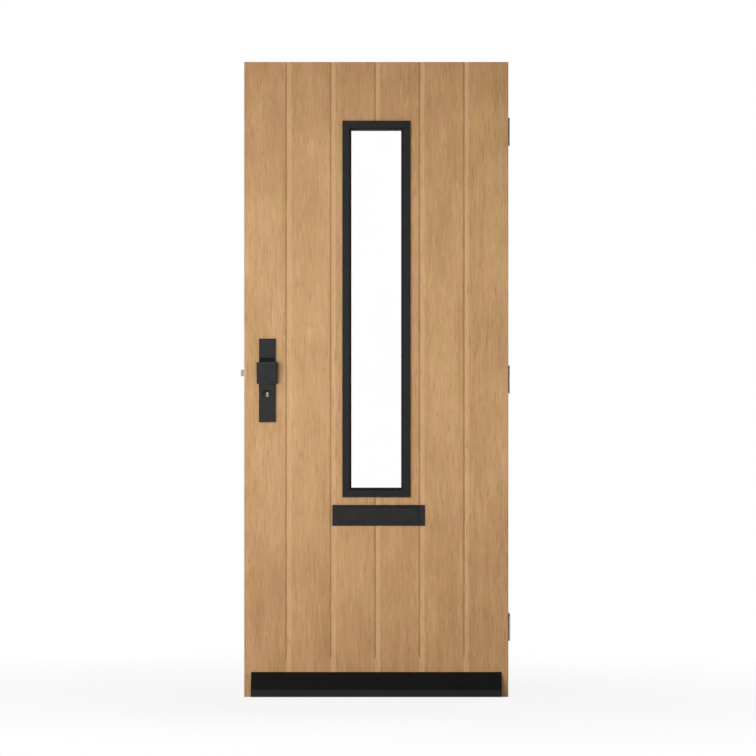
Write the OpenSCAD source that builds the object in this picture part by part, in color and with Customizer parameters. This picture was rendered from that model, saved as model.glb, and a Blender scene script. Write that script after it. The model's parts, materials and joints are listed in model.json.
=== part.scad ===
// Oak front door leaf with a glazed slot, letterbox, mortice lock, handles,
// weather bar and butt hinges. Origin at the leaf's bottom centre, in the middle
// of its thickness. The outside faces -Y, the lock edge is at -X.

/* [Leaf] */
// Width of the leaf
leaf_w = 880; // [780:5:1030]
// Height of the leaf
leaf_h = 2115; // [2050:5:2315]
// Thickness of the leaf
leaf_t = 54; // [50:1:62]
// Thickness of each veneered face panel
skin_t = 12; // [10:0.5:13]
// Bevel along the long edges of the face panels
edge_bevel = 2; // [1:0.5:4]
// Width of the lock stile in the core
lock_stile_w = 125; // [118:1:160]
// Width of the hinge stile in the core
hinge_stile_w = 90; // [70:1:140]
// Height of the bottom rail in the core
bottom_rail_h = 150; // [90:5:250]
// Width of the trimmers beside the window
trimmer_w = 45; // [30:1:70]
// Wood below the letter slot in the letter rail
letter_rail_foot = 45; // [25:1:90]

/* [Grooves] */
// Number of grooves in each face
groove_count = 5; // [1:2:5]
// Distance from groove to groove
groove_pitch = 148; // [120:2:180]
// Width of a groove at the face
groove_w = 15.5; // [8:0.5:20]
// Depth of a groove
groove_d = 3.5; // [3:0.5:7]
// Width of a groove's flat bottom
groove_floor_w = 3; // [1:0.5:4]
// Height of the grooves' lower ends above the leaf's bottom
groove_foot = 133; // [100:1:300]

/* [Window] */
// Width of the clear sight opening
sight_w = 166; // [120:2:240]
// Wood above the sight opening, up to the leaf's top
sight_top = 227; // [180:1:400]
// Height of the sight opening's lower edge above the leaf's bottom
sight_z = 696; // [680:1:740]
// Width of the moulding's face
moulding_w = 30; // [26:1:40]
// Height of the moulding above the leaf's face
moulding_rise = 12; // [9:0.5:18]
// Bevel on the sight side of the moulding
moulding_bevel = 7; // [2:0.5:8]
// Bevel on the outer side of the moulding
moulding_edge = 2; // [1:0.5:4]
// Thickness of the moulding's leg in the cut-out
moulding_leg = 15; // [13:0.5:20]
// Thickness of each glass pane
pane_t = 6; // [4:1:8]
// Space between the panes
pane_gap = 12; // [8:1:16]
// Thickness of the glazing gaskets
gasket_t = 3; // [2:0.5:4]
// Width of the spacer between the panes
spacer_w = 8; // [5:0.5:9]
// Room round the glass unit in the cut-out
glass_room = 3; // [2:0.5:5]
// Length of a setting block under the glass
setting_block_w = 30; // [20:1:50]

/* [Letterbox] */
// Length of the letter plates
letter_w = 308; // [300:1:340]
// Height of the letter plates
letter_h = 69; // [66:1:72]
// Thickness of the letter plates
letter_t = 6; // [5:0.5:8]
// Depth of the letter plates' centre below the sight opening
letter_drop = 91; // [86:0.5:150]
// Offset of the letter plates' centre towards the hinges
letter_x = 7.5; // [-20:0.5:20]
// Length of a letter plate beyond each end of its flap
letter_end = 23; // [20:0.5:30]
// Height of a flap below its rod
flap_drop = 46; // [42:1:52]
// Thickness of a flap, and radius of its rolled upper edge
flap_t = 4; // [3:0.5:5]
// Depth of the rod below the plate's upper edge
rod_drop = 10; // [8:0.5:12]
// Radius of the flap rods
rod_r = 1.5; // [1:0.25:2]
// Lap of a flap over each end of the slot
flap_lap = 6; // [4:0.5:20]
// Height of the slot through the leaf
slot_h = 36; // [30:1:37]
// Wall of the sleeve in the slot
sleeve_wall = 1.5; // [1:0.25:3]
// Shank radius of the letter plate bolts
letter_bolt_r = 2; // [1.5:0.25:2.5]
// Distance of the letter plate bolts from the plates' ends
letter_bolt_in = 10; // [8:0.5:12]

/* [Handles] */
// Width of the handle plates
plate_w = 55; // [45:1:70]
// Height of the handle plates
plate_h = 277; // [260:1:320]
// Height of the plates' upper edge above the key
plate_rise = 186; // [160:1:190]
// Thickness of the outside plate
plate_out_t = 12; // [10:0.5:14]
// Thickness of the inside plate
plate_in_t = 10; // [8:0.5:12]
// Bevel round the handle plates
plate_bevel = 1.5; // [0.5:0.25:3]
// Distance of the plate bolts from the plates' ends
plate_bolt_in = 18; // [12:1:22]
// Shank radius of the plate bolts
plate_bolt_r = 2.5; // [2:0.25:3]
// Width of the fixed pull block
pull_w = 70; // [60:1:90]
// Height of the fixed pull block
pull_h = 72; // [60:1:80]
// Depth of the pull block at its upper lip
pull_top_d = 30; // [26:1:45]
// Depth of the pull block at its lower edge
pull_foot_d = 8; // [4:0.5:14]
// Thickness of the pull block's lip and cheeks
pull_wall = 9; // [6:0.5:12]
// Depth of the finger scoop in the outside plate
scoop_d = 7; // [4:0.5:8]
// Radius of the round recess at the key
key_recess_r = 16; // [12:0.5:18]
// Depth of the round recess at the key
key_recess_d = 4; // [2:0.5:5]
// Length of the lever from its axis to its end
lever_l = 128; // [100:1:150]
// Height of the lever's grip
lever_h = 20; // [18:1:26]
// Thickness of the lever's grip
lever_t = 12; // [9:0.5:16]
// Distance of the grip's outer face from the inside plate
lever_reach = 42; // [38:1:60]

/* [Lock] */
// Distance of the lock axes from the lock edge
backset = 77; // [65:1:80]
// Height of the key above the leaf's bottom
key_z = 1007; // [950:1:1100]
// Distance from the key to the lever's axis
key_to_lever = 72; // [68:1:92]
// Width of the forend
forend_w = 24; // [20:1:26]
// Height of the forend
forend_h = 235; // [215:1:270]
// Thickness of the forend
forend_t = 3; // [2:0.5:4]
// Thickness of the lock case
case_t = 16; // [15:0.5:20]
// Wall of the lock case
case_wall = 1.5; // [1:0.25:2]
// Depth of the lock case behind the key axis
case_tail = 35; // [32:0.5:38]
// Throw of the latch bolt
latch_throw = 12; // [10:0.5:12]
// Height of the latch bolt
latch_h = 22; // [18:1:26]
// Height of the dead bolt
bolt_h = 28; // [20:1:30]
// Thickness of both bolts
bolt_t = 12; // [10:0.5:13]
// Side of the square spindle
spindle_a = 8; // [7:0.5:9]
// Radius of the follower's journals
follower_r = 9; // [8:0.25:10]
// Radius of the cylinder's key plug
plug_r = 6.5; // [6:0.25:7]

/* [Weather bar] */
// Length of the weather bar with its end caps
bar_w = 834; // [600:2:870]
// Height of the weather bar's upper edge above the leaf's bottom
bar_top = 83; // [70:1:100]
// Height of the ridge above the leaf's bottom
bar_ridge = 27; // [22:1:40]
// Height of the nose's lower edge above the leaf's bottom
bar_foot = 3; // [2:1:12]
// Depth of the weather bar in front of the leaf
bar_d = 45; // [35:1:60]
// Wall of the weather bar
bar_wall = 3; // [2:0.25:4]

/* [Hinges] */
// Height of a hinge
hinge_h = 89; // [76:1:110]
// Width of a hinge flap from the pin's axis
hinge_flap_w = 44.5; // [40:0.5:50]
// Thickness of the hinge flaps
hinge_t = 3; // [2.5:0.25:4]
// Radius of the hinge knuckles
knuckle_r = 7; // [6:0.25:8]
// Radius of the hinge pins
pin_r = 4; // [3:0.25:4.5]
// Gap between the leaf's edge and the frame
edge_gap = 2.5; // [2:0.25:4]
// Distance of the outer hinges from the leaf's ends
hinge_end = 230; // [150:5:350]
// Upright spacing of the hinge screws
hinge_screw_z = 60; // [50:1:64]
// Crosswise spacing of the hinge screws
hinge_screw_y = 18; // [14:0.5:20]
// Radius of the frame-side screw holes
frame_hole_r = 2.75; // [2.5:0.05:3.25]
// Shank radius of the door-side screws
hinge_screw_r = 2.2; // [1.8:0.1:2.3]

/* [Hidden] */
$fn = 64;

oak = [0.77, 0.62, 0.45];
black = [0.2, 0.2, 0.21];
steel = [0.72, 0.72, 0.7];
foam = [0.9, 0.86, 0.7];

// Overshoot of a cut past the surface it starts from
over = 1;
// Radial clearance of a running fit
run_fit = 0.05;
// Clearance between pieces that slide or pass
slide_fit = 0.3;
// Room round pieces let into the wood
wood_fit = 0.5;
// Radial room round a screw in its hole
screw_fit = 0.1;

x_lock = -leaf_w / 2;
x_hinge = leaf_w / 2;
y_out = -leaf_t / 2;
y_in = leaf_t / 2;
core_y = leaf_t / 2 - skin_t;

sight_h = leaf_h - sight_top - sight_z;
cut_w = sight_w + 2 * moulding_leg;
cut_z0 = sight_z - moulding_leg;
cut_z1 = sight_z + sight_h + moulding_leg;
sight_mid_z = sight_z + sight_h / 2;
unit_y = pane_gap / 2 + pane_t;

letter_z = sight_z - letter_drop;
flap_w = letter_w - 2 * letter_end;
slot_w = flap_w - 2 * flap_lap;
rod_z = letter_z + letter_h / 2 - rod_drop;
rod_y = y_out - letter_t - slide_fit;
barrel_room = slide_fit + 0.1;
slot_land = 1.5;
slot_z1 = rod_z - flap_t - slot_land;
slot_z0 = slot_z1 - slot_h;
letter_bolt_x = letter_w / 2 - letter_bolt_in;
letter_rail_z0 = slot_z0 - letter_rail_foot;
letter_bevel = 1;
ear_w = 5;
rod_l = flap_w + 2 * slide_fit + 1.6 * ear_w;

lock_x = x_lock + backset;
lever_z = key_z + key_to_lever;
plate_z1 = key_z + plate_rise;
plate_z0 = plate_z1 - plate_h;
plate_out_y = y_out - plate_out_t;
plate_in_y = y_in + plate_in_t;
pull_z0 = lever_z - pull_h / 2;
pull_z1 = lever_z + pull_h / 2;

case_x0 = x_lock + forend_t;
case_x1 = lock_x + case_tail;
case_drop = 47;
case_head = 41;
case_z0 = key_z - case_drop;
case_z1 = lever_z + case_head;
forend_z = (case_z0 + case_z1) / 2;
cover_y = case_t / 2 - case_wall;
cylinder_screw_r = 2.5;
cylinder_screw_z = key_z - 20.5;
lock_screw_in = 9;
lock_screw_r = 2;
edge_head_h = 2;
screw_l = 32;

// Profile cylinder: barrel, lower lobe and cam
barrel_r = 8.5;
lobe_w = 10;
lobe_drop = 24.5;
cam_r = 15.2;
cam_w = 8;
cam_gap = 10;
bridge_drop = 16.5;
disc_r = 9.5;
disc_flange_r = 11;
disc_floor_t = 2;
disc_flange_t = 1.5;
disc_floor_y = plate_out_y + key_recess_d + disc_floor_t;
cylinder_out = plate_out_t - key_recess_d - disc_floor_t - disc_flange_t;
cylinder_y0 = y_out - cylinder_out;
cylinder_y1 = y_in + cylinder_out;
keyway_w = 2.6;
keyway_h = 9;
keyway_d = 22;
key_slot_w = 6;
key_slot_h = 14;

// Follower arm and latch hook
arm_l = 17;
arm_w = 6;
hook_gap = 0.4;
hook_x0 = lock_x + arm_w / 2 + hook_gap;
hook_w = 7;
tail_t = 6;
tail_z0 = lever_z + arm_l + 2;
latch_body_l = 34;
bolt_body_l = 45;
bolt_tail_l = 43;
bolt_z0 = key_z + cam_r + 3.8;

bush_r = 12.5;
neck_r = 9.5;
spindle_in = 20;
shaft_out = 9;
knob_gap = 0.8;
knob_d = 24;
knob_r = 17;
knob_t = 9;
knob_base_r = 10.5;
knob_base_t = 5;

// Finger scoop in the outside plate and pocket behind the pull block's lip
scoop_r = 26;
scoop_rim = 4;
scoop_drop = 3;
pull_floor = 26;
pull_lip_h = 6;
pull_bevel = 5;

pin_x = x_hinge + edge_gap / 2;
pin_y = y_in + knuckle_r + 0.5;
hinge_zs = [hinge_end, leaf_h / 2, leaf_h - hinge_end];
knuckle_n = 5;
knuckle_l = hinge_h / knuckle_n;
flap_corner_r = 10;
hinge_row_y = pin_y - 17;
pin_cap = 2.5;

// Solid between two corners
module block(lo, hi) {
    translate(lo)
        cube(hi - lo);
}

// Upright outline in X and Z, extruded between two Y planes
module along_y(y0, y1) {
    translate([0, y1, 0])
        rotate([90, 0, 0])
            linear_extrude(y1 - y0)
                children();
}

// Cross-section in Y and Z, extruded along X and centred
module along_x(l) {
    translate([-l / 2, 0, 0])
        rotate([90, 0, 90])
            linear_extrude(l)
                children();
}

// Round bar along Y
module bar_y(r, x, z, y0, y1) {
    translate([x, y1, z])
        rotate([90, 0, 0])
            cylinder(r = r, h = y1 - y0);
}

// Round bar along X
module bar_x(r, y, z, x0, x1) {
    translate([x0, y, z])
        rotate([0, 90, 0])
            cylinder(r = r, h = x1 - x0);
}

// Countersunk head below the XY plane; a cut has room and starts above the plane
module screw_head(r, h, room) {
    lift = room > 0 ? over : 0;
    translate([0, 0, -h])
        cylinder(r1 = r + room, r2 = r + h + room + lift, h = h + lift);
}

// Rectangle ring in X and Z around a centre
module ring(w, h, rim) {
    difference() {
        square([w, h], center = true);
        square([w - 2 * rim, h - 2 * rim], center = true);
    }
}

// Flat plate against the leaf's outside face, bevelled round its front
module bevelled_plate(w, z0, z1, t, bevel) {
    hull() {
        block([-w / 2, y_out - t + bevel, z0], [w / 2, y_out, z1]);
        block([-w / 2 + bevel, y_out - t, z0 + bevel], [w / 2 - bevel, y_out, z1 - bevel]);
    }
}

// Mirror a piece of the outside to the inside
module inside() {
    mirror([0, 1, 0])
        children();
}

// Cuts shared by the pieces of the leaf
module window_cut() {
    block([-cut_w / 2, y_out - over, cut_z0], [cut_w / 2, y_in + over, cut_z1]);
}

module letter_cut() {
    rim = sleeve_wall + wood_fit;
    block(
        [letter_x - slot_w / 2 - rim, y_out - over, slot_z0 - rim],
        [letter_x + slot_w / 2 + rim, y_in + over, slot_z1 + rim]
    );
    for (s = [-1, 1])
        bar_y(letter_bolt_r + wood_fit, letter_x + s * letter_bolt_x, letter_z, y_out - over, y_in + over);
}

module euro_profile(room) {
    circle(r = barrel_r + room);
    translate([-lobe_w / 2 - room, lobe_w / 2 - lobe_drop])
        square([lobe_w + 2 * room, lobe_drop - lobe_w / 2]);
    translate([0, lobe_w / 2 - lobe_drop])
        circle(r = lobe_w / 2 + room);
}

module cylinder_cut(room, y0, y1) {
    translate([lock_x, 0, key_z])
        along_y(y0, y1)
            euro_profile(room);
}

module plate_bolt_cut(room, y0, y1) {
    for (z = [plate_z0 + plate_bolt_in, plate_z1 - plate_bolt_in])
        bar_y(plate_bolt_r + room, lock_x, z, y0, y1);
}

module lock_cut() {
    block(
        [x_lock - over, -case_t / 2 - wood_fit, case_z0 - wood_fit],
        [case_x1 + wood_fit, case_t / 2 + wood_fit, case_z1 + wood_fit]
    );
    block(
        [x_lock - over, -forend_w / 2, forend_z - forend_h / 2],
        [x_lock + forend_t, forend_w / 2, forend_z + forend_h / 2]
    );
    forend_screw_set(screw_fit);
}

// Outline of one hinge flap in Y and Z, from the pin's axis to its round corners
module flap_outline(room) {
    reach = pin_y - hinge_flap_w - room;
    r = flap_corner_r;
    for (s = [-1, 1])
        translate([reach + r, s * (hinge_h / 2 + room - r)])
            circle(r = r);
    translate([reach, -hinge_h / 2 - room + r])
        square([pin_y - reach, hinge_h + 2 * room - 2 * r]);
    translate([reach + r, -hinge_h / 2 - room])
        square([pin_y - reach - r, hinge_h + 2 * room]);
}

module hinge_cut() {
    for (z = hinge_zs) {
        translate([x_hinge + (over - hinge_t) / 2, 0, z])
            along_x(hinge_t + over)
                flap_outline(slide_fit);
        translate([0, 0, z])
            hinge_screw_places()
                hinge_screw(screw_fit);
    }
}

// Face panels
module groove() {
    translate([0, 0, groove_foot])
        linear_extrude(leaf_h - groove_foot + over)
            polygon([
                [-groove_w / 2, y_out - over],
                [groove_w / 2, y_out - over],
                [groove_w / 2, y_out],
                [groove_floor_w / 2, y_out + groove_d],
                [-groove_floor_w / 2, y_out + groove_d],
                [-groove_w / 2, y_out]
            ]);
    translate([0, y_out, groove_foot])
        rotate([-90, 0, 0])
            cylinder(r1 = groove_w / 2, r2 = groove_floor_w / 2, h = groove_d);
}

module face_panel() {
    difference() {
        linear_extrude(leaf_h)
            polygon([
                [x_lock, -core_y],
                [x_lock, y_out + edge_bevel],
                [x_lock + edge_bevel, y_out],
                [x_hinge - edge_bevel, y_out],
                [x_hinge, y_out + edge_bevel],
                [x_hinge, -core_y]
            ]);
        for (i = [0 : groove_count - 1])
            translate([(i - (groove_count - 1) / 2) * groove_pitch, 0, 0])
                groove();
        window_cut();
        letter_cut();
        cylinder_cut(wood_fit, y_out - over, y_in + over);
        plate_bolt_cut(wood_fit, y_out - over, y_in + over);
    }
}

module outer_face_panel() {
    color(oak)
        face_panel();
}

module inner_face_panel() {
    color(oak)
        difference() {
            inside()
                face_panel();
            hinge_cut();
            bar_y(neck_r + wood_fit, lock_x, lever_z, 0, y_in + over);
        }
}

// Core of the leaf
module lock_stile() {
    color(oak)
        difference() {
            block([x_lock, -core_y, 0], [x_lock + lock_stile_w, core_y, leaf_h]);
            lock_cut();
            cylinder_cut(wood_fit, -core_y - over, core_y + over);
            plate_bolt_cut(wood_fit, -core_y - over, core_y + over);
            bar_y(neck_r + wood_fit, lock_x, lever_z, 0, core_y + over);
        }
}

module hinge_stile() {
    color(oak)
        difference() {
            block([x_hinge - hinge_stile_w, -core_y, 0], [x_hinge, core_y, leaf_h]);
            hinge_cut();
        }
}

module rail(z0, z1) {
    block([x_lock + lock_stile_w, -core_y, z0], [x_hinge - hinge_stile_w, core_y, z1]);
}

module top_rail() {
    color(oak)
        rail(cut_z1, leaf_h);
}

module bottom_rail() {
    color(oak)
        rail(0, bottom_rail_h);
}

module letter_rail() {
    color(oak)
        difference() {
            rail(letter_rail_z0, cut_z0);
            letter_cut();
        }
}

module window_trimmer() {
    block([cut_w / 2, -core_y, cut_z0], [cut_w / 2 + trimmer_w, core_y, cut_z1]);
}

module window_trimmer_left() {
    color(oak)
        mirror([1, 0, 0])
            window_trimmer();
}

module window_trimmer_right() {
    color(oak)
        window_trimmer();
}

module insulation_boards() {
    trim_x = cut_w / 2 + trimmer_w;
    color(foam) {
        rail(bottom_rail_h, letter_rail_z0);
        block([x_lock + lock_stile_w, -core_y, cut_z0], [-trim_x, core_y, cut_z1]);
        block([trim_x, -core_y, cut_z0], [x_hinge - hinge_stile_w, core_y, cut_z1]);
    }
}

// Window: one mitred bar, its sight edge on the X axis
module moulding(l) {
    leg = moulding_leg - slide_fit;
    front = y_out - moulding_rise;
    intersection() {
        along_x(l + 2 * (moulding_w + over))
            polygon([
                [-unit_y - gasket_t, 0],
                [-unit_y - gasket_t, leg],
                [y_out, leg],
                [y_out, moulding_w],
                [front + moulding_edge, moulding_w],
                [front, moulding_w - moulding_edge],
                [front, moulding_bevel],
                [front + moulding_bevel, 0]
            ]);
        along_y(front - over, 0)
            polygon([
                [-l / 2, 0],
                [l / 2, 0],
                [l / 2 + moulding_w, moulding_w],
                [-l / 2 - moulding_w, moulding_w]
            ]);
    }
}

module moulding_top() {
    color(black)
        translate([0, 0, sight_z + sight_h])
            moulding(sight_w);
}

module moulding_bottom() {
    color(black)
        translate([0, 0, sight_z])
            mirror([0, 0, 1])
                moulding(sight_w);
}

module moulding_right() {
    color(black)
        translate([sight_w / 2, 0, sight_mid_z])
            rotate([0, 90, 0])
                moulding(sight_h);
}

module moulding_left() {
    mirror([1, 0, 0])
        moulding_right();
}

module pane(y0) {
    w = cut_w - 2 * glass_room;
    h = sight_h + 2 * moulding_leg - 2 * glass_room;
    color("lightcyan", 0.4)
        translate([0, 0, sight_mid_z])
            along_y(y0, y0 + pane_t)
                square([w, h], center = true);
}

module glass_spacer() {
    inset = moulding_leg - spacer_w - over;
    color(steel)
        translate([0, 0, sight_mid_z])
            along_y(-pane_gap / 2, pane_gap / 2)
                ring(cut_w - 2 * inset, sight_h + 2 * moulding_leg - 2 * inset, spacer_w);
}

module glazing_gaskets() {
    rim = moulding_leg - glass_room - 2;
    color("dimgray")
        for (y0 = [-unit_y - gasket_t, unit_y])
            translate([0, 0, sight_mid_z])
                along_y(y0, y0 + gasket_t)
                    ring(
                        cut_w - 2 * glass_room,
                        sight_h + 2 * moulding_leg - 2 * glass_room,
                        rim
                    );
}

module setting_blocks() {
    block_x = cut_w / 4;
    color("dimgray")
        for (s = [-1, 1])
            translate([s * block_x, 0, cut_z0 + glass_room / 2])
                cube([setting_block_w, 2 * unit_y, glass_room], center = true);
}

// Letterbox
module letter_plate() {
    z0 = letter_z - letter_h / 2;
    front = y_out - letter_t;
    ear_x = flap_w / 2 + slide_fit;
    difference() {
        union() {
            translate([letter_x, 0, 0])
                bevelled_plate(letter_w, z0, z0 + letter_h, letter_t, letter_bevel);
            for (s = [0, 1])
                translate([letter_x, 0, 0])
                    mirror([s, 0, 0])
                        block([ear_x, rod_y - flap_t, rod_z - flap_t], [ear_x + ear_w, y_out, rod_z + flap_t]);
        }
        block(
            [letter_x - slot_w / 2, front - over, slot_z0],
            [letter_x + slot_w / 2, y_out + over, slot_z1]
        );
        bar_x(flap_t + barrel_room, rod_y, rod_z, letter_x - ear_x, letter_x + ear_x);
        bar_x(rod_r + run_fit, rod_y, rod_z, letter_x - rod_l / 2, letter_x + rod_l / 2);
    }
}

module letter_flap() {
    difference() {
        union() {
            bar_x(flap_t, rod_y, rod_z, letter_x - flap_w / 2, letter_x + flap_w / 2);
            block(
                [letter_x - flap_w / 2, rod_y - flap_t, rod_z - flap_drop],
                [letter_x + flap_w / 2, rod_y, rod_z]
            );
        }
        bar_x(
            rod_r + run_fit,
            rod_y,
            rod_z,
            letter_x - flap_w / 2 - over,
            letter_x + flap_w / 2 + over
        );
    }
}

// One letter plate bolt, its countersunk head flush with the inner plate
module letter_bolt_set(room) {
    head_y = y_in + letter_t;
    for (s = [-1, 1]) {
        bar_y(letter_bolt_r + room, letter_x + s * letter_bolt_x, letter_z, y_out - letter_t / 2 - room, head_y);
        translate([letter_x + s * letter_bolt_x, head_y, letter_z])
            rotate([-90, 0, 0])
                screw_head(letter_bolt_r, letter_bolt_r, room);
    }
}

module letter_plate_outer() {
    color(black)
        difference() {
            letter_plate();
            letter_bolt_set(screw_fit);
        }
}

module letter_plate_inner() {
    color(black)
        difference() {
            inside()
                letter_plate();
            letter_bolt_set(screw_fit);
        }
}

module letter_flap_outer() {
    color(black)
        letter_flap();
}

module letter_flap_inner() {
    color(black)
        inside()
            letter_flap();
}

module letter_sleeve() {
    color(steel)
        translate([letter_x, 0, (slot_z0 + slot_z1) / 2])
            along_y(y_out, y_in)
                ring(slot_w + 2 * sleeve_wall, slot_h + 2 * sleeve_wall, sleeve_wall);
}

module letter_rods() {
    color(steel)
        for (y = [rod_y, -rod_y])
            bar_x(rod_r, y, rod_z, letter_x - rod_l / 2, letter_x + rod_l / 2);
}

module letter_bolts() {
    color(steel)
        letter_bolt_set(0);
}

// Mortice lock
module forend_screw_set(room) {
    for (s = [-1, 1])
        edge_screw(forend_z + s * (forend_h / 2 - lock_screw_in), lock_screw_r, x_lock + screw_l, room);
}

// Screw from the lock edge, its countersunk head flush with the forend
module edge_screw(z, r, x1, room) {
    bar_x(r + room, 0, z, x_lock, x1);
    translate([x_lock, 0, z])
        rotate([0, -90, 0])
            screw_head(r, edge_head_h, room);
}

module cylinder_screw_set(room) {
    edge_screw(cylinder_screw_z, cylinder_screw_r, lock_x + lobe_w / 2, room);
}

module bolt_ways() {
    way = bolt_t / 2 + slide_fit;
    block(
        [x_lock - over, -way, lever_z - latch_h / 2 - slide_fit],
        [case_x0 + case_wall + over, way, lever_z + latch_h / 2 + slide_fit]
    );
    block(
        [x_lock - over, -way, bolt_z0 - slide_fit],
        [case_x0 + case_wall + over, way, bolt_z0 + bolt_h + slide_fit]
    );
}

module lock_forend() {
    color(steel)
        difference() {
            block(
                [x_lock, -forend_w / 2, forend_z - forend_h / 2],
                [case_x0, forend_w / 2, forend_z + forend_h / 2]
            );
            bolt_ways();
            forend_screw_set(screw_fit);
            cylinder_screw_set(screw_fit);
        }
}

module lock_case() {
    color(steel)
        difference() {
            block([case_x0, -case_t / 2, case_z0], [case_x1, cover_y, case_z1]);
            block(
                [case_x0 + case_wall, -case_t / 2 + case_wall, case_z0 + case_wall],
                [case_x1 - case_wall, cover_y + over, case_z1 - case_wall]
            );
            bolt_ways();
            bar_y(follower_r + run_fit, lock_x, lever_z, -case_t / 2 - over, 0);
            cylinder_cut(slide_fit, -case_t / 2 - over, 0);
            cylinder_screw_set(screw_fit);
        }
}

module lock_cover() {
    color(steel)
        difference() {
            block([case_x0, cover_y, case_z0], [case_x1, case_t / 2, case_z1]);
            bar_y(follower_r + run_fit, lock_x, lever_z, 0, case_t / 2 + over);
            cylinder_cut(slide_fit, 0, case_t / 2 + over);
        }
}

module lock_screws() {
    color(steel)
        forend_screw_set(0);
}

// Latch bolt: bevelled head, riser, bar over the follower's arm and hook behind it
module latch_bolt() {
    nose = x_lock - latch_throw;
    back = x_lock + latch_body_l;
    color(steel) {
        translate([0, 0, lever_z - latch_h / 2])
            linear_extrude(latch_h)
                polygon([
                    [nose, bolt_t / 2],
                    [nose, bolt_t / 6],
                    [x_lock - over, -bolt_t / 2],
                    [back, -bolt_t / 2],
                    [back, bolt_t / 2]
                ]);
        block([back - tail_t, -tail_t / 2, lever_z], [back, tail_t / 2, tail_z0 + tail_t]);
        block([back - tail_t, -tail_t / 2, tail_z0], [hook_x0 + hook_w, tail_t / 2, tail_z0 + tail_t]);
        block(
            [hook_x0, -tail_t / 2, lever_z + follower_r + 2],
            [hook_x0 + hook_w, tail_t / 2, tail_z0 + tail_t]
        );
    }
}

// Coil of round wire along X between the latch hook and the case's rear wall
spring_x0 = hook_x0 + hook_w + slide_fit;
spring_l = case_x1 - case_wall - slide_fit - spring_x0;
spring_z = tail_z0 + tail_t / 2 - 2;
spring_r = 4.2;
wire_r = 0.6;
coil_turns = 6;
coil_steps = 12;
wire_sides = 8;

function coil_angle(i) = 360 * i / coil_steps;
function coil_x(i) = spring_x0 + wire_r + (spring_l - 2 * wire_r) * i / (coil_turns * coil_steps);
function coil_point(i, b) = [
    coil_x(i) + wire_r * sin(b),
    (spring_r + wire_r * cos(b)) * cos(coil_angle(i)),
    spring_z + (spring_r + wire_r * cos(b)) * sin(coil_angle(i))
];

module latch_spring() {
    last = coil_turns * coil_steps;
    n = wire_sides;
    points = [for (i = [0 : last], k = [0 : n - 1]) coil_point(i, 360 * k / n)];
    sides = [
        for (i = [0 : last - 1], k = [0 : n - 1])
            [i * n + k, (i + 1) * n + k, (i + 1) * n + (k + 1) % n, i * n + (k + 1) % n]
    ];
    ends = [[for (k = [0 : n - 1]) k], [for (k = [n - 1 : -1 : 0]) last * n + k]];
    color(steel)
        polyhedron(points, concat(sides, ends));
}

module dead_bolt() {
    back = x_lock + bolt_body_l;
    color(steel) {
        block([x_lock, -bolt_t / 2, bolt_z0], [back, bolt_t / 2, bolt_z0 + bolt_h]);
        block([back, -bolt_t / 6, bolt_z0], [back + bolt_tail_l, bolt_t / 6, bolt_z0 + bolt_h / 2]);
    }
}

module lock_follower() {
    collar_y = cover_y - slide_fit;
    color(steel)
        difference() {
            union() {
                bar_y(follower_r, lock_x, lever_z, -case_t / 2, case_t / 2);
                bar_y(follower_r + 0.5, lock_x, lever_z, -collar_y, collar_y);
                block(
                    [lock_x - arm_w / 2, -tail_t / 2, lever_z],
                    [lock_x + arm_w / 2, tail_t / 2, lever_z + arm_l]
                );
            }
            spindle_bar(run_fit, -case_t / 2 - over, case_t / 2 + over);
        }
}

// Profile cylinder
module cylinder_body() {
    color("silver")
        difference() {
            translate([lock_x, 0, key_z])
                along_y(cylinder_y0, cylinder_y1)
                    euro_profile(0);
            bar_y(plug_r + run_fit, lock_x, key_z, cylinder_y0 - over, cylinder_y1 + over);
            block(
                [lock_x - cam_r, -cam_gap / 2, key_z - bridge_drop],
                [lock_x + cam_r, cam_gap / 2, key_z + cam_r]
            );
            cylinder_screw_set(screw_fit);
        }
}

module cylinder_screw() {
    color(steel)
        cylinder_screw_set(0);
}

module cylinder_cam() {
    half = cam_gap / 2 - slide_fit;
    color(steel)
        translate([lock_x, 0, key_z])
            along_y(-half, half) {
                circle(r = barrel_r);
                intersection() {
                    circle(r = cam_r);
                    translate([-cam_w / 2, -cam_r - over])
                        square([cam_w, cam_r + over]);
                }
            }
}

module key_plug() {
    color("silver")
        difference() {
            bar_y(plug_r, lock_x, key_z, cylinder_y0, -cam_gap / 2);
            block(
                [lock_x - keyway_w / 2, cylinder_y0 - over, key_z - keyway_h / 2],
                [lock_x + keyway_w / 2, cylinder_y0 + keyway_d, key_z + keyway_h / 2]
            );
        }
}

module guard_disc() {
    color(black)
        difference() {
            union() {
                bar_y(disc_r, lock_x, key_z, plate_out_y + key_recess_d, cylinder_y0 - slide_fit);
                bar_y(disc_flange_r, lock_x, key_z, disc_floor_y + slide_fit, cylinder_y0 - slide_fit);
            }
            block(
                [lock_x - key_slot_w / 2, plate_out_y, key_z - key_slot_h / 2],
                [lock_x + key_slot_w / 2, y_out, key_z + key_slot_h / 2]
            );
        }
}

// Handles
module handle_plate_outer() {
    scoop_x = plate_w / 2 - scoop_rim;
    color(black)
        difference() {
            translate([lock_x, 0, 0])
                bevelled_plate(plate_w, plate_z0, plate_z1, plate_out_t, plate_bevel);
            bar_y(key_recess_r, lock_x, key_z, plate_out_y - over, plate_out_y + key_recess_d);
            bar_y(disc_r + run_fit, lock_x, key_z, plate_out_y, y_out + over);
            bar_y(disc_flange_r + slide_fit, lock_x, key_z, disc_floor_y, y_out + over);
            cylinder_cut(slide_fit, disc_floor_y, y_out + over);
            bar_x(
                scoop_r,
                plate_out_y - scoop_r + scoop_d,
                pull_z1 - scoop_drop,
                lock_x - scoop_x,
                lock_x + scoop_x
            );
            plate_bolt_set(screw_fit);
        }
}

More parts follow.
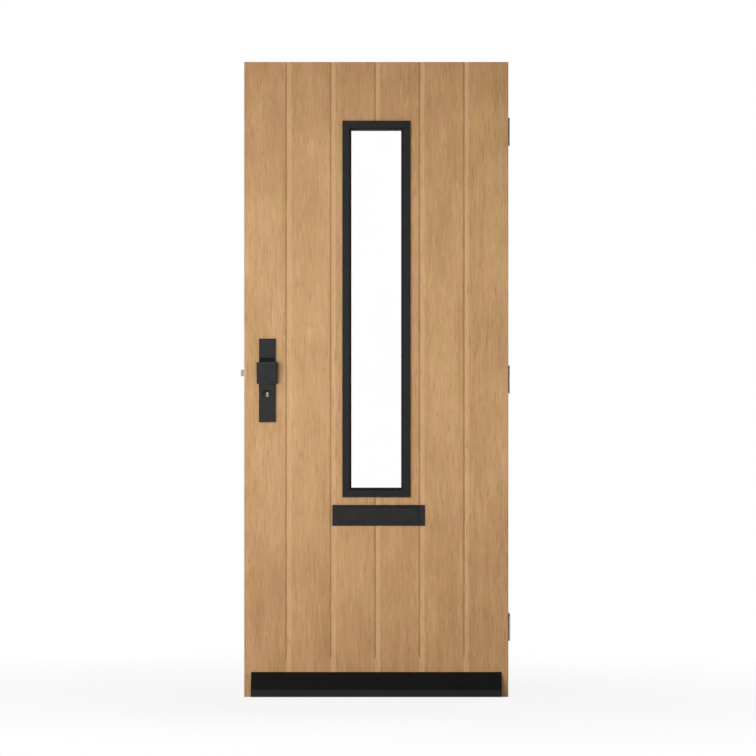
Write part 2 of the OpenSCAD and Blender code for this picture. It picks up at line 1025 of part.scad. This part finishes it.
// Level slice of the pull block, bevelled at its two front corners
module pull_slice(z, t, d, bevel) {
    w = pull_w / 2;
    translate([lock_x, plate_out_y, z])
        linear_extrude(t)
            polygon([
                [-w, 0],
                [-w, bevel - d],
                [bevel - w, -d],
                [w - bevel, -d],
                [w, bevel - d],
                [w, 0]
            ]);
}

module pull_block() {
    lip_d = pull_top_d - pull_wall;
    color(black)
        difference() {
            hull() {
                pull_slice(pull_z0, pull_lip_h / 4, pull_foot_d, pull_bevel / 2);
                pull_slice(pull_z1 - pull_lip_h, pull_lip_h, pull_top_d, pull_bevel);
            }
            translate([lock_x, plate_out_y, pull_z0])
                along_x(pull_w - 2 * pull_wall)
                    polygon([
                        [over, pull_floor],
                        [-lip_d / 4, pull_floor + 3],
                        [-lip_d * 0.6, pull_floor + 14],
                        [-lip_d, pull_h - 14],
                        [-lip_d, pull_h + over],
                        [over, pull_h + over]
                    ]);
        }
}

// Plate bolts, their countersunk heads flush with the inside plate
module plate_bolt_set(room) {
    plate_bolt_cut(room, y_out - plate_out_t / 2 - room, plate_in_y);
    for (z = [plate_z0 + plate_bolt_in, plate_z1 - plate_bolt_in])
        translate([lock_x, plate_in_y, z])
            rotate([-90, 0, 0])
                screw_head(plate_bolt_r, plate_bolt_r, room);
}

module handle_plate_inner() {
    color(black)
        difference() {
            inside()
                translate([lock_x, 0, 0])
                    bevelled_plate(plate_w, plate_z0, plate_z1, plate_in_t, plate_bevel);
            bar_y(bush_r, lock_x, lever_z, y_in - over, plate_in_y + over);
            cylinder_cut(slide_fit, y_in - over, plate_in_y + over);
            plate_bolt_set(screw_fit);
        }
}

module plate_bolts() {
    color(steel)
        plate_bolt_set(0);
}

module lever_bush() {
    color("dimgray")
        difference() {
            bar_y(bush_r - run_fit, lock_x, lever_z, y_in, plate_in_y + over);
            bar_y(neck_r + run_fit, lock_x, lever_z, y_in - over, plate_in_y + 2 * over);
        }
}

module spindle_bar(room, y0, y1) {
    half = spindle_a / 2 + room;
    block([lock_x - half, y0, lever_z - half], [lock_x + half, y1, lever_z + half]);
}

module spindle() {
    color(steel)
        spindle_bar(0, -case_t / 2, plate_in_y + spindle_in);
}

// Lever: round neck, round elbow and flat grip towards the hinges
module lever_handle() {
    grip_y = plate_in_y + lever_reach;
    end_r = lever_t / 2;
    color(black)
        difference() {
            union() {
                bar_y(neck_r, lock_x, lever_z, y_in + over, grip_y - neck_r);
                translate([lock_x, 0, lever_z - lever_h / 2])
                    linear_extrude(lever_h) {
                        translate([0, grip_y - neck_r])
                            circle(r = neck_r);
                        translate([0, grip_y - lever_t])
                            square([lever_l - end_r, lever_t]);
                        translate([lever_l - end_r, grip_y - end_r])
                            circle(r = end_r);
                    }
            }
            spindle_bar(run_fit, y_in, plate_in_y + spindle_in + slide_fit);
        }
}

module thumbturn_shaft() {
    color("silver")
        bar_y(plug_r, lock_x, key_z, cam_gap / 2 - slide_fit, plate_in_y + shaft_out);
}

module thumbturn_knob() {
    knob_y0 = plate_in_y + knob_gap;
    knob_y1 = knob_y0 + knob_d;
    color(black)
        difference() {
            union() {
                bar_y(knob_base_r, lock_x, key_z, knob_y0, knob_y0 + knob_base_t);
                intersection() {
                    bar_y(knob_r, lock_x, key_z, knob_y0, knob_y1);
                    block(
                        [lock_x - knob_t / 2, knob_y0, key_z - knob_r],
                        [lock_x + knob_t / 2, knob_y1, key_z + knob_r]
                    );
                }
            }
            bar_y(plug_r + run_fit, lock_x, key_z, knob_y0 - over, plate_in_y + shaft_out + run_fit);
        }
}

// Weather bar: folded section open below, closed by a cap at each end
module bar_section() {
    polygon([
        [y_out, bar_top],
        [y_out - bar_wall, bar_top],
        [y_out - bar_d, bar_ridge],
        [y_out - bar_d, bar_foot],
        [y_out - bar_d + bar_wall, bar_foot],
        [y_out - bar_d + bar_wall, bar_ridge - bar_wall / 2],
        [y_out - bar_wall, bar_top - 2 * bar_wall],
        [y_out - bar_wall, bar_foot + 4 * bar_wall],
        [y_out, bar_foot + 4 * bar_wall]
    ]);
}

module weather_bar() {
    color(black)
        along_x(bar_w - 2 * bar_wall)
            bar_section();
}

module weather_bar_caps() {
    color(black)
        for (s = [-1, 1])
            translate([s * (bar_w - bar_wall) / 2, 0, 0])
                along_x(bar_wall)
                    polygon([
                        [y_out, bar_top],
                        [y_out - bar_wall, bar_top],
                        [y_out - bar_d, bar_ridge],
                        [y_out - bar_d, bar_foot],
                        [y_out, bar_foot + 4 * bar_wall]
                    ]);
}

// Hinges: flap plates with interleaved knuckles on one pin
module knuckle_stack(indices, r, gap) {
    for (i = indices)
        translate([pin_x, pin_y, i * knuckle_l - hinge_h / 2 + gap])
            cylinder(r = r, h = knuckle_l - 2 * gap);
}

module hinge_flap(x0, own, others) {
    difference() {
        union() {
            translate([x0 + hinge_t / 2, 0, 0])
                along_x(hinge_t)
                    flap_outline(0);
            knuckle_stack(own, knuckle_r, slide_fit / 2);
        }
        knuckle_stack(others, knuckle_r + barrel_room, 0);
        translate([pin_x, pin_y, -hinge_h])
            cylinder(r = pin_r + run_fit, h = 2 * hinge_h);
    }
}

// Places the four screws of one hinge flap
module hinge_screw_places() {
    for (sy = [0, 1], sz = [-1, 1])
        translate([0, hinge_row_y - sy * hinge_screw_y, sz * hinge_screw_z / 2])
            children();
}

module hinge_frame_flap(z) {
    face_x = x_hinge + edge_gap;
    color(steel)
        translate([0, 0, z])
            difference() {
                hinge_flap(face_x, [0, 2, 4], [1, 3]);
                hinge_screw_places() {
                    bar_x(frame_hole_r, 0, 0, face_x - over, face_x + hinge_t + over);
                    translate([face_x, 0, 0])
                        rotate([0, 90, 0])
                            cylinder(r1 = frame_hole_r + over, r2 = frame_hole_r, h = over);
                }
            }
}

// Door-side hinge screw, its countersunk head flush with the leaf's edge
module hinge_screw(room) {
    bar_x(hinge_screw_r + room, 0, 0, x_hinge - screw_l, x_hinge);
    translate([x_hinge, 0, 0])
        rotate([0, 90, 0])
            screw_head(hinge_screw_r, edge_head_h, room);
}

module hinge_door_flaps() {
    color(steel)
        for (z = hinge_zs)
            translate([0, 0, z])
                difference() {
                    hinge_flap(x_hinge - hinge_t, [1, 3], [0, 2, 4]);
                    hinge_screw_places()
                        hinge_screw(2 * screw_fit);
                }
}

module hinge_screws() {
    color(steel)
        for (z = hinge_zs)
            translate([0, 0, z])
                hinge_screw_places()
                    hinge_screw(0);
}

module hinge_pins() {
    half = hinge_h / 2;
    color(steel)
        for (z = hinge_zs)
            translate([pin_x, pin_y, z])
                rotate_extrude()
                    polygon([
                        [0, -half - pin_cap],
                        [knuckle_r - pin_cap / 2, -half - pin_cap],
                        [knuckle_r, -half - pin_cap / 2],
                        [knuckle_r, -half],
                        [pin_r, -half],
                        [pin_r, half],
                        [knuckle_r, half],
                        [knuckle_r, half + pin_cap / 2],
                        [knuckle_r - pin_cap / 2, half + pin_cap],
                        [0, half + pin_cap]
                    ]);
}

outer_face_panel();
inner_face_panel();
lock_stile();
hinge_stile();
top_rail();
bottom_rail();
letter_rail();
window_trimmer_left();
window_trimmer_right();
insulation_boards();
moulding_top();  // outer_moulding_top
moulding_bottom();  // outer_moulding_bottom
moulding_left();  // outer_moulding_left
moulding_right();  // outer_moulding_right
inside() moulding_top();  // inner_moulding_top
inside() moulding_bottom();  // inner_moulding_bottom
inside() moulding_left();  // inner_moulding_left
inside() moulding_right();  // inner_moulding_right
pane(-unit_y);  // glass_outer
pane(pane_gap / 2);  // glass_inner
glass_spacer();
glazing_gaskets();
setting_blocks();
letter_plate_outer();
letter_flap_outer();
letter_plate_inner();
letter_flap_inner();
letter_sleeve();
letter_rods();
letter_bolts();
lock_forend();
lock_case();
lock_cover();
lock_screws();
latch_bolt();
latch_spring();
dead_bolt();
lock_follower();
cylinder_body();
cylinder_screw();
cylinder_cam();
key_plug();
guard_disc();
handle_plate_outer();
pull_block();
handle_plate_inner();
lever_handle();
lever_bush();
spindle();
thumbturn_shaft();
thumbturn_knob();
plate_bolts();
weather_bar();
weather_bar_caps();
hinge_frame_flap(hinge_zs[0]);  // hinge_frame_flap_bottom
hinge_frame_flap(hinge_zs[1]);  // hinge_frame_flap_middle
hinge_frame_flap(hinge_zs[2]);  // hinge_frame_flap_top
hinge_door_flaps();
hinge_pins();
hinge_screws();
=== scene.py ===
"""Looks of the oak front door: wood, black fittings, glass, light and camera."""
import json
import math

import bpy
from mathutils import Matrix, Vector


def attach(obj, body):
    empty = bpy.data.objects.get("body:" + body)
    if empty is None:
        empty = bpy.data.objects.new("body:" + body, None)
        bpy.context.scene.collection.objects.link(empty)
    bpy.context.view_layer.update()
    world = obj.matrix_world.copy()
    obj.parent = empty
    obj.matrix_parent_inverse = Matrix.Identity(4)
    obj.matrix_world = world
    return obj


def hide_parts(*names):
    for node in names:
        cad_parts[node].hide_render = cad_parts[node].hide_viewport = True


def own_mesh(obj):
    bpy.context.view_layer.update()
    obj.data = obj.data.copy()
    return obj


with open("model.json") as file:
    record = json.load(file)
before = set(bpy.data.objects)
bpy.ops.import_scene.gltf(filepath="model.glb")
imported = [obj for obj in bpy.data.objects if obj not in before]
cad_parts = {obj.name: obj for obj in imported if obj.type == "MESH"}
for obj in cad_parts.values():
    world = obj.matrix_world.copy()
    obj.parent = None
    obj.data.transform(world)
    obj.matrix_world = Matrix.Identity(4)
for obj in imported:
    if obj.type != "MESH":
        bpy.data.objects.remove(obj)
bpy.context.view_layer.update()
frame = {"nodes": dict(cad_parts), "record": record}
nodes = frame["nodes"]
# Distance between the grooves of the face panels, in metres
board_pitch = 0.148
# Height of the grooves' lower ends
groove_foot = 0.133
# Middles of the painted light strip and the painted shade line, right and left of each groove's middle
painted_light_offset = 0.0045
painted_shade_offset = 0.0036
# Place of the key's axis, and the shaded ring of its recess
key_x = -0.363
key_z = 1.007
ring_inner = 0.0115
ring_outer = 0.0162
# Outside face of the leaf
face_y = -0.027


class Graph:
    """A material's node graph with short calls for the nodes used here."""

    def __init__(self, name):
        self.mat = bpy.data.materials.new(name)
        self.mat.use_nodes = True
        self.tree = self.mat.node_tree
        self.tree.nodes.clear()
        self.out = self.add("ShaderNodeOutputMaterial")
        self.place = self.add("ShaderNodeTexCoord").outputs["Object"]

    def add(self, kind, **values):
        node = self.tree.nodes.new(kind)
        for name, value in values.items():
            setattr(node, name, value)
        return node

    def feed(self, socket, value):
        if isinstance(value, bpy.types.NodeSocket):
            self.tree.links.new(value, socket)
        else:
            socket.default_value = value

    def math(self, operation, a, b=0.0, c=0.0):
        node = self.add("ShaderNodeMath", operation=operation)
        for socket, value in zip(node.inputs, (a, b, c)):
            self.feed(socket, value)
        return node.outputs[0]

    def stretched(self, scale, shift=None):
        """Object coordinates times scale, with an optional shift along the grain."""
        node = self.add("ShaderNodeVectorMath", operation="MULTIPLY")
        self.feed(node.inputs[0], self.place)
        self.feed(node.inputs[1], scale)
        if shift is None:
            return node.outputs[0]
        moved = self.add("ShaderNodeVectorMath", operation="ADD")
        self.feed(moved.inputs[0], node.outputs[0])
        self.feed(moved.inputs[1], shift)
        return moved.outputs[0]

    def noise(self, vector, scale=1.0, detail=3.0, roughness=0.5):
        node = self.add("ShaderNodeTexNoise")
        self.feed(node.inputs["Vector"], vector)
        self.feed(node.inputs["Scale"], scale)
        self.feed(node.inputs["Detail"], detail)
        self.feed(node.inputs["Roughness"], roughness)
        return node.outputs["Fac"]

    def spread(self, value, lo, hi, to_lo=0.0, to_hi=1.0):
        node = self.add("ShaderNodeMapRange")
        for socket, v in zip(node.inputs, (value, lo, hi, to_lo, to_hi)):
            self.feed(socket, v)
        return node.outputs[0]

    def mix(self, factor, a, b, blend="MIX"):
        node = self.add("ShaderNodeMix", data_type="RGBA", blend_type=blend)
        self.feed(node.inputs[0], factor)
        self.feed(node.inputs[6], a)
        self.feed(node.inputs[7], b)
        return node.outputs[2]

    def bump(self, height, strength, distance):
        node = self.add("ShaderNodeBump")
        self.feed(node.inputs["Height"], height)
        self.feed(node.inputs["Strength"], strength)
        self.feed(node.inputs["Distance"], distance)
        return node.outputs[0]

    def principled(self, **values):
        node = self.add("ShaderNodeBsdfPrincipled")
        for name, value in values.items():
            self.feed(node.inputs[name.replace("_", " ")], value)
        self.tree.links.new(node.outputs[0], self.out.inputs[0])
        return self.mat


def oak(name, along, boards=False):
    """Oiled oak veneer: straight grain with short pore marks; boards differ a little in tone."""
    g = Graph(name)
    split = g.add("ShaderNodeSeparateXYZ")
    g.feed(split.inputs[0], g.place)
    board = g.math("DIVIDE", split.outputs[0], board_pitch)
    chance = g.add("ShaderNodeTexWhiteNoise", noise_dimensions="1D")
    g.feed(chance.inputs["W"], g.math("ADD", g.math("FLOOR", board), 0.37) if boards else 0.37)
    shift = g.add("ShaderNodeVectorMath", operation="SCALE")
    g.feed(shift.inputs[0], chance.outputs["Color"])
    g.feed(shift.inputs[3], 40.0)
    shift = shift.outputs[0]

    def grain(across, lengthwise):
        scale = [across] * 3
        scale[along] = lengthwise
        return g.stretched(scale, shift)

    def part(value, weight):
        return g.math("MULTIPLY", g.math("SUBTRACT", value, 0.5), weight)

    patches = g.noise(grain(13.0, 5.0), detail=2.0)
    hues = g.noise(grain(19.0, 9.0), detail=2.0)
    bands = g.noise(grain(34.0, 1.5), detail=3.0, roughness=0.55)
    streaks = g.noise(grain(230.0, 12.0), detail=3.0, roughness=0.6)
    fibres = g.noise(grain(700.0, 12.0), detail=2.0)
    marks = g.spread(g.noise(grain(205.0, 21.0), detail=1.0), 0.58, 0.74)
    flecks = g.spread(g.noise(grain(185.0, 17.0), detail=1.0), 0.58, 0.74)
    pores = g.spread(g.noise(grain(1100.0, 26.0), detail=1.0), 0.60, 0.72)
    tone = g.math("ADD", part(bands, 0.55), part(streaks, 0.75))
    tone = g.math("ADD", tone, part(patches, 0.75))
    tone = g.math("ADD", tone, part(chance.outputs["Value"], 0.16))
    # Painted shade: colour darker towards the leaf's top and bottom, standing in for the light's falloff,
    # with a painted shadow along the top
    painted_falloff = g.spread(g.math("ABSOLUTE", g.math("SUBTRACT", split.outputs[2], 1.1)), 0.35, 1.0, 0.0, 0.21)
    painted_top_shadow = g.spread(split.outputs[2], 1.85, 2.1, 0.0, 0.09)
    tone = g.math("SUBTRACT", tone, g.math("ADD", painted_falloff, painted_top_shadow))
    colour = g.mix(g.spread(tone, -0.5, 0.5), (0.405, 0.210, 0.081, 1), (0.675, 0.410, 0.194, 1))
    warm = g.mix(g.spread(hues, 0.35, 0.65), (0.98, 1.005, 0.93, 1), (1.02, 0.99, 1.05, 1))
    colour = g.mix(1.0, colour, warm, "MULTIPLY")
    if boards:
        # Painted light: a paler strip right of each groove, where light from the left falls on its flank
        turn = g.math("SUBTRACT", g.math("FRACT", g.math("ADD", board, 0.5)), 0.5)
        beside = g.math("MULTIPLY", turn, board_pitch)
        off = g.math("ABSOLUTE", g.math("SUBTRACT", beside, painted_light_offset))
        inner = g.math("LESS_THAN", g.math("ABSOLUTE", board), 2.5)
        painted_groove_light = g.math("MULTIPLY", g.spread(off, 0.0065, 0.0095, 1.0, 0.0), inner)
        colour = g.mix(g.math("MULTIPLY", painted_groove_light, 0.45), colour, (0.70, 0.44, 0.23, 1))
        # Painted shade along the left flank of each groove, down to the groove's lower end
        flank = g.math("ABSOLUTE", g.math("ADD", beside, painted_shade_offset))
        routed = g.math("MULTIPLY", g.math("GREATER_THAN", split.outputs[2], groove_foot), inner)
        painted_groove_shade = g.math("MULTIPLY", g.spread(flank, 0.0010, 0.0028, 1.0, 0.0), routed)
        colour = g.mix(g.math("MULTIPLY", painted_groove_shade, 0.34), colour, (0.24, 0.115, 0.042, 1))
    colour = g.mix(g.math("MULTIPLY", flecks, 0.20), colour, (0.78, 0.53, 0.29, 1))
    colour = g.mix(g.math("MULTIPLY", marks, 0.34), colour, (0.25, 0.118, 0.042, 1))
    colour = g.mix(g.math("MULTIPLY", pores, 0.14), colour, (0.22, 0.105, 0.04, 1))
    rough = g.math("ADD", g.math("MULTIPLY", fibres, 0.16), 0.44)
    height = g.math("SUBTRACT", g.math("MULTIPLY", fibres, 0.4), pores)
    return g.principled(
        Base_Color=colour, Roughness=rough, Specular_IOR_Level=0.25,
        Normal=g.bump(height, 0.25, 0.0004),
    )


def coated(name, colour, roughness, specular, bump=0.10, key_recess=False):
    """Black coat or paint: faint mottling, fine texture, uneven sheen, shade under the key recess's rim."""
    g = Graph(name)
    cloud = g.noise(g.place, scale=38.0, detail=4.0)
    grain = g.noise(g.place, scale=2600.0, detail=2.0)
    dark = [c * 0.82 for c in colour] + [1]
    light = [c * 1.22 for c in colour] + [1]
    coat = g.mix(g.spread(cloud, 0.3, 0.7), dark, light)
    if key_recess:
        split = g.add("ShaderNodeSeparateXYZ")
        g.feed(split.inputs[0], g.place)
        across = g.math("SUBTRACT", split.outputs[0], key_x)
        above = g.math("SUBTRACT", split.outputs[2], key_z)
        radius = g.math("SQRT", g.math("MULTIPLY_ADD", across, across, g.math("MULTIPLY", above, above)))
        ring = g.math("MULTIPLY", g.math("GREATER_THAN", radius, ring_inner),
                      g.math("LESS_THAN", radius, ring_outer))
        side = g.math("DIVIDE", g.math("MULTIPLY_ADD", across, -0.45, above), radius)
        shade = g.math("MULTIPLY", ring, g.spread(side, 0.0, 0.5))
        coat = g.mix(shade, coat, (0.0005, 0.0005, 0.0005, 1))
    return g.principled(
        Base_Color=coat,
        Roughness=g.math("ADD", g.math("MULTIPLY", cloud, 0.12), roughness - 0.06),
        Specular_IOR_Level=specular,
        Normal=g.bump(grain, bump, 0.0003),
    )


def metal(name, colour, roughness, brush):
    """Bare metal with fine brush lines along one axis."""
    g = Graph(name)
    lines = g.noise(g.stretched(brush), detail=3.0)
    cloud = g.noise(g.place, scale=55.0, detail=3.0)
    worn = [c * 0.8 for c in colour[:3]] + [1]
    return g.principled(
        Base_Color=g.mix(g.spread(cloud, 0.35, 0.75), colour, worn),
        Metallic=1.0,
        Roughness=g.math("ADD", g.math("MULTIPLY", lines, 0.2), roughness - 0.1),
        Normal=g.bump(lines, 0.06, 0.0002),
    )


def soft(name, colour, other, scale, roughness, bump):
    """Rubber, plastic or foam: mottled and dull."""
    g = Graph(name)
    cells = g.noise(g.place, scale=scale, detail=4.0)
    return g.principled(
        Base_Color=g.mix(g.spread(cells, 0.3, 0.7), colour, other),
        Roughness=g.math("ADD", g.math("MULTIPLY", cells, 0.1), roughness - 0.05),
        Specular_IOR_Level=0.3,
        Normal=g.bump(cells, bump, 0.0005),
    )


def clear_glass(name):
    """Float glass with a trace of green and hardly any haze."""
    g = Graph(name)
    haze = g.noise(g.place, scale=6.0, detail=3.0)
    return g.principled(
        Base_Color=g.mix(g.spread(haze, 0.3, 0.7), (0.992, 1.0, 0.996, 1), (0.998, 1.0, 0.999, 1)),
        Roughness=g.math("MULTIPLY", haze, 0.004),
        Transmission_Weight=1.0,
        IOR=1.3,
    )


looks = {
    "oak_boards": oak("oak_boards", 2, boards=True),
    "oak_upright": oak("oak_upright", 2),
    "oak_level": oak("oak_level", 0),
    "black_paint": coated("black_paint", (0.012, 0.012, 0.013), 0.50, 0.13),
    "black_coat": coated("black_coat", (0.016, 0.015, 0.016), 0.54, 0.15),
    "black_plate": coated("black_plate", (0.017, 0.016, 0.017), 0.54, 0.15, key_recess=True),
    # Painted light: a lighter copy of the plate's black coat, so the pull block reads as bright as the plate
    # around it
    "black_pull_painted_lighter": coated("black_pull_painted_lighter", (0.024, 0.023, 0.024), 0.54, 0.17),
    "black_anodised": coated("black_anodised", (0.005, 0.005, 0.006), 0.42, 0.18, bump=0.05),
    "steel": metal("satin_steel", (0.44, 0.44, 0.43, 1), 0.38, (300.0, 300.0, 25.0)),
    "nickel": metal("nickel", (0.29, 0.285, 0.275, 1), 0.40, (400.0, 60.0, 400.0)),
    "spacer": metal("spacer_aluminium", (0.62, 0.63, 0.64, 1), 0.42, (90.0, 500.0, 90.0)),
    "glass": clear_glass("clear_glass"),
    "seal": soft("seal_rubber", (0.016, 0.016, 0.017, 1), (0.028, 0.028, 0.028, 1), 900.0, 0.7, 0.2),
    "plastic": soft("dark_plastic", (0.028, 0.028, 0.03, 1), (0.04, 0.04, 0.04, 1), 500.0, 0.55, 0.1),
    "foam": soft("foam_board", (0.78, 0.70, 0.47, 1), (0.85, 0.79, 0.58, 1), 700.0, 0.85, 0.4),
}
by_slot = {"black_moulding": "black_paint", "black_metal": "black_coat"}
by_node = {
    "outer_face_panel": "oak_boards", "inner_face_panel": "oak_boards",
    "weather_bar": "black_anodised", "weather_bar_caps": "black_anodised",
    "handle_plate_outer": "black_plate", "pull_block": "black_pull_painted_lighter",
    "top_rail": "oak_level", "bottom_rail": "oak_level", "letter_rail": "oak_level",
}

# Rounded edges, by node or material slot, in metres; pieces with small holes keep their CAD edges
edge_round = {
    "black_moulding": 0.0007, "pull_block": 0.0007, "weather_bar_caps": 0.0005, "guard_disc": 0.0003,
    "letter_flap_outer": 0.0002, "letter_flap_inner": 0.0002, "latch_bolt": 0.0005, "dead_bolt": 0.0005,
}

for part in frame["record"]["subparts"]:
    node, slot = part["node"], part["material_slot"]
    obj = nodes[node]
    look = by_node.get(node, by_slot.get(slot, "oak_upright" if slot == "oak" else slot))
    obj.data.materials.clear()
    obj.data.materials.append(looks[look])
    width = edge_round.get(node, edge_round.get(slot))
    if width:
        weld = obj.modifiers.new("weld", "WELD")
        weld.merge_threshold = 0.00001
        bevel = obj.modifiers.new("soft_edges", "BEVEL")
        bevel.width = width
        bevel.segments = 2
        bevel.limit_method = "ANGLE"
        bevel.angle_limit = 0.6
        bevel.harden_normals = True

# A copy of the latch spring, carried by the leaf, takes the place of the CAD spring
coil = bpy.data.objects.new("latch_coil", nodes["latch_spring"].data.copy())
bpy.context.collection.objects.link(coil)
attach(coil, "leaf")
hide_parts("latch_spring")
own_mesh(coil)


# Stage: pale floor, white surroundings
def floor_material():
    """White floor: where it is seen it mostly glows white, and keeps a soft shadow near the leaf."""
    g = Graph("pale_floor")
    ray = g.add("ShaderNodeLightPath").outputs
    seen = g.math("MAXIMUM", ray["Is Camera Ray"],
                  g.math("MAXIMUM", ray["Is Transmission Ray"], ray["Is Glossy Ray"]))
    matt = g.add("ShaderNodeBsdfDiffuse")
    tint = g.noise(g.place, scale=1.5, detail=2.0)
    g.feed(matt.inputs["Color"], g.mix(tint, (0.80, 0.80, 0.80, 1), (0.82, 0.82, 0.82, 1)))
    glow = g.add("ShaderNodeEmission")
    g.feed(glow.inputs["Color"], (1, 1, 1, 1))
    g.feed(glow.inputs["Strength"], 1.0)
    blend = g.add("ShaderNodeMixShader")
    away = g.add("ShaderNodeVectorMath", operation="LENGTH")
    g.feed(away.inputs[0], g.place)
    g.feed(blend.inputs[0], g.math("MULTIPLY", seen, g.spread(away.outputs["Value"], 0.7, 2.4, 0.85, 1.0)))
    g.feed(blend.inputs[1], matt.outputs[0])
    g.feed(blend.inputs[2], glow.outputs[0])
    g.feed(g.out.inputs[0], blend.outputs[0])
    return g.mat


bpy.ops.mesh.primitive_plane_add(size=60, location=(0, 0, -0.001))
floor = bpy.context.object
floor.name = "floor"
floor.data.materials.append(floor_material())

world = bpy.data.worlds.new("studio")
bpy.context.scene.world = world
world.use_nodes = True
sky = world.node_tree
sky.nodes.clear()


def sky_node(kind, *feeds, **values):
    node = sky.nodes.new(kind)
    for name, value in values.items():
        setattr(node, name, value)
    for socket, value in feeds:
        if isinstance(value, bpy.types.NodeSocket):
            sky.links.new(value, node.inputs[socket])
        else:
            node.inputs[socket].default_value = value
    return node.outputs


# Seen directly or through glass the surroundings are white; mirrored and as a light they are dimmer overhead
ray = sky_node("ShaderNodeLightPath")
seen = sky_node("ShaderNodeMath", (0, ray["Is Camera Ray"]), (1, ray["Is Transmission Ray"]),
                operation="MAXIMUM")[0]
heading = sky_node("ShaderNodeSeparateXYZ", (0, sky_node("ShaderNodeTexCoord")["Generated"]))
light = sky_node("ShaderNodeMapRange", ("Value", heading[2]), ("From Min", 0.0), ("From Max", 0.8),
                 ("To Min", 0.50), ("To Max", 0.20))[0]
mirrored = sky_node("ShaderNodeMapRange", ("Value", heading[2]), ("From Min", 0.1), ("From Max", 0.8),
                    ("To Min", 1.0), ("To Max", 0.20))[0]
light = sky_node("ShaderNodeMix", (0, ray["Is Glossy Ray"]), (2, light), (3, mirrored), data_type="FLOAT")[0]
strength = sky_node("ShaderNodeMix", (0, seen), (2, light), (3, 1.0), data_type="FLOAT")[0]
glow = sky_node("ShaderNodeBackground", ("Color", (1, 1, 1, 1)), ("Strength", strength))
sky_node("ShaderNodeOutputWorld", (0, glow[0]))


def lamp(name, place, aim, size, power):
    data = bpy.data.lights.new(name, "AREA")
    data.size = size
    data.energy = power
    obj = bpy.data.objects.new(name, data)
    bpy.context.collection.objects.link(obj)
    obj.location = place
    obj.rotation_euler = (Vector(aim) - Vector(place)).to_track_quat("-Z", "Y").to_euler()


lamp("key", (-1.15, -2.7, 1.3), (-0.2, 0, 1.15), 1.6, 55)
lamp("fill", (2.6, -5.0, 1.6), (0, 0, 1.0), 2.5, 8)
lamp("back", (1.9, 3.0, 1.7), (0, 0, 1.1), 1.8, 60)

# Camera: square on, near the middle of the leaf's height
sensor_mm = 36.0
camera_distance = 14.0
view_width = 2.518
eye_x = 0.0057
eye_z = 1.0623
camera = bpy.data.cameras.new("camera")
camera.sensor_width = sensor_mm
camera.lens = sensor_mm * camera_distance / view_width
eye = bpy.data.objects.new("camera", camera)
bpy.context.collection.objects.link(eye)
eye.location = (eye_x, face_y - camera_distance, eye_z)
eye.rotation_euler = (math.pi / 2, 0, 0)
bpy.context.scene.camera = eye
bpy.context.scene.view_settings.view_transform = "Standard"
